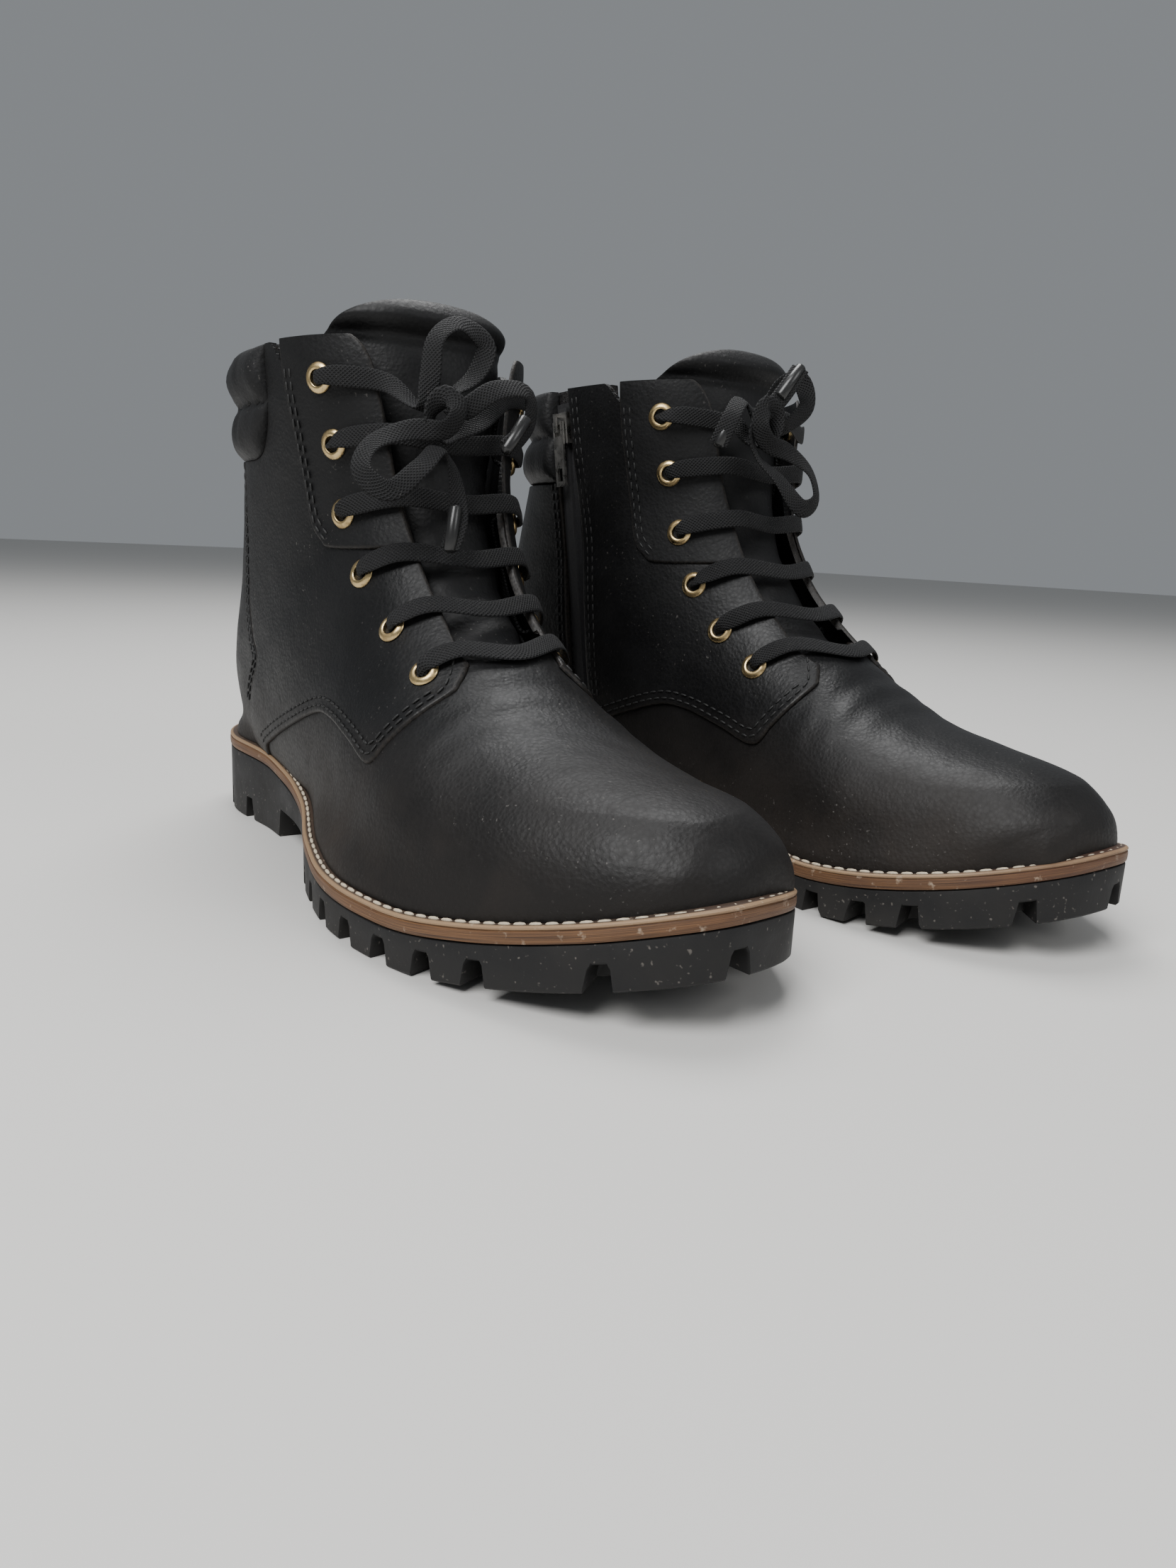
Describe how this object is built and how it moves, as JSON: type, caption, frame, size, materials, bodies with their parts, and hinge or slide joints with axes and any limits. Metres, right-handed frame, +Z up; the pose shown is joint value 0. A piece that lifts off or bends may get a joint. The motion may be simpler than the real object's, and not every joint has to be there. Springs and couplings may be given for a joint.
{
  "type": "lace-up boots",
  "caption": "Ankle-high black leather lace-up boots with brass eyelets, padded collar, inner side zip, tan welt and lugged rubber sole.",
  "frame": {"origin": "middle of the footprint of the pair, on the floor", "axes": "+Z up; toes towards -Y; the right boot at -X and the left boot at +X"},
  "size_m": [0.2484, 0.324, 0.1952],
  "materials": {
    "rubber_sole": "matte moulded rubber, lightly dusty",
    "tan_welt": "brown sanded edge with a thin light upper line, scuffed",
    "leather_board": "raw board",
    "footbed_foam": "fleece-covered foam",
    "black_leather": "matte smooth black leather, faint grey bloom, fine grain",
    "tongue_leather": "soft padded black leather",
    "collar_leather": "soft padded black leather",
    "fleece_lining": "short black fleece",
    "black_lace": "flat woven black lace",
    "brass_eyelet": "antique brass",
    "zip_black": "woven black tape with a coil",
    "zip_metal": "black enamelled metal",
    "shank_steel": "plain spring steel",
    "black_thread": "black sewing thread",
    "white_thread": "off-white waxed thread",
    "lace_tip": "black film"
  },
  "bodies": {
    "right_boot": {"right_outsole": "rubber_sole", "right_welt": "tan_welt", "right_shank": "shank_steel", "right_insole_board": "leather_board", "right_footbed": "footbed_foam", "right_vamp": "black_leather", "right_quarter_lateral": "black_leather", "right_quarter_medial": "black_leather", "right_heel_quarter": "black_leather", "right_facing_lateral": "black_leather", "right_facing_medial": "black_leather", "right_lining": "fleece_lining", "right_collar_pad": "collar_leather", "right_zip_tape": "zip_black", "right_eyelet_lateral_1": "brass_eyelet", "right_eyelet_lateral_2": "brass_eyelet", "right_eyelet_lateral_3": "brass_eyelet", "right_eyelet_lateral_4": "brass_eyelet", "right_eyelet_lateral_5": "brass_eyelet", "right_eyelet_lateral_6": "brass_eyelet", "right_eyelet_medial_1": "brass_eyelet", "right_eyelet_medial_2": "brass_eyelet", "right_eyelet_medial_3": "brass_eyelet", "right_eyelet_medial_4": "brass_eyelet", "right_eyelet_medial_5": "brass_eyelet", "right_eyelet_medial_6": "brass_eyelet", "right_lace": "black_lace"},
    "right_tongue": {"right_tongue": "tongue_leather"},
    "right_zip_slider": {"right_zip_slider": "zip_metal"},
    "right_zip_puller": {"right_zip_puller": "zip_metal"},
    "left_boot": {"left_outsole": "rubber_sole", "left_welt": "tan_welt", "left_shank": "shank_steel", "left_insole_board": "leather_board", "left_footbed": "footbed_foam", "left_vamp": "black_leather", "left_quarter_lateral": "black_leather", "left_quarter_medial": "black_leather", "left_heel_quarter": "black_leather", "left_facing_lateral": "black_leather", "left_facing_medial": "black_leather", "left_lining": "fleece_lining", "left_collar_pad": "collar_leather", "left_zip_tape": "zip_black", "left_eyelet_lateral_1": "brass_eyelet", "left_eyelet_lateral_2": "brass_eyelet", "left_eyelet_lateral_3": "brass_eyelet", "left_eyelet_lateral_4": "brass_eyelet", "left_eyelet_lateral_5": "brass_eyelet", "left_eyelet_lateral_6": "brass_eyelet", "left_eyelet_medial_1": "brass_eyelet", "left_eyelet_medial_2": "brass_eyelet", "left_eyelet_medial_3": "brass_eyelet", "left_eyelet_medial_4": "brass_eyelet", "left_eyelet_medial_5": "brass_eyelet", "left_eyelet_medial_6": "brass_eyelet", "left_lace": "black_lace"},
    "left_tongue": {"left_tongue": "tongue_leather"},
    "left_zip_slider": {"left_zip_slider": "zip_metal"},
    "left_zip_puller": {"left_zip_puller": "zip_metal"}
  },
  "joints": [
    {"name": "left_boot_lift", "type": "slide", "parent": "right_boot", "child": "left_boot", "axis": [0, 0, 1], "range_m": [0, 0.3]},
    {"name": "right_tongue_tilt", "type": "hinge", "parent": "right_boot", "child": "right_tongue", "pos_m": [-0.0645, -0.02816, 0.076], "axis": [0.9981, -0.061, 0], "range_deg": [-2.5, 0], "stiffness_Nm_per_rad": 0.6},
    {"name": "right_zip_slide", "type": "slide", "parent": "right_boot", "child": "right_zip_slider", "axis": [0.063, 0.103, 0.9927], "range_m": [-0.09, 0]},
    {"name": "right_zip_puller_swing", "type": "hinge", "parent": "right_zip_slider", "child": "right_zip_puller", "pos_m": [-0.01116, 0.08064, 0.16183], "axis": [0.0546, 0.9928, -0.1065], "range_deg": [-150, 0]},
    {"name": "left_tongue_tilt", "type": "hinge", "parent": "left_boot", "child": "left_tongue", "pos_m": [0.06464, -0.05161, 0.076], "axis": [0.9994, 0.0349, 0], "range_deg": [-2.5, 0], "stiffness_Nm_per_rad": 0.6},
    {"name": "left_zip_slide", "type": "slide", "parent": "left_boot", "child": "left_zip_slider", "axis": [-0.0603, 0.1046, 0.9927], "range_m": [-0.09, 0]},
    {"name": "left_zip_puller_swing", "type": "hinge", "parent": "left_zip_slider", "child": "left_zip_puller", "pos_m": [0.01416, 0.05856, 0.16183], "axis": [-0.0286, 0.9939, -0.1065], "range_deg": [0, 150]}
  ]
}
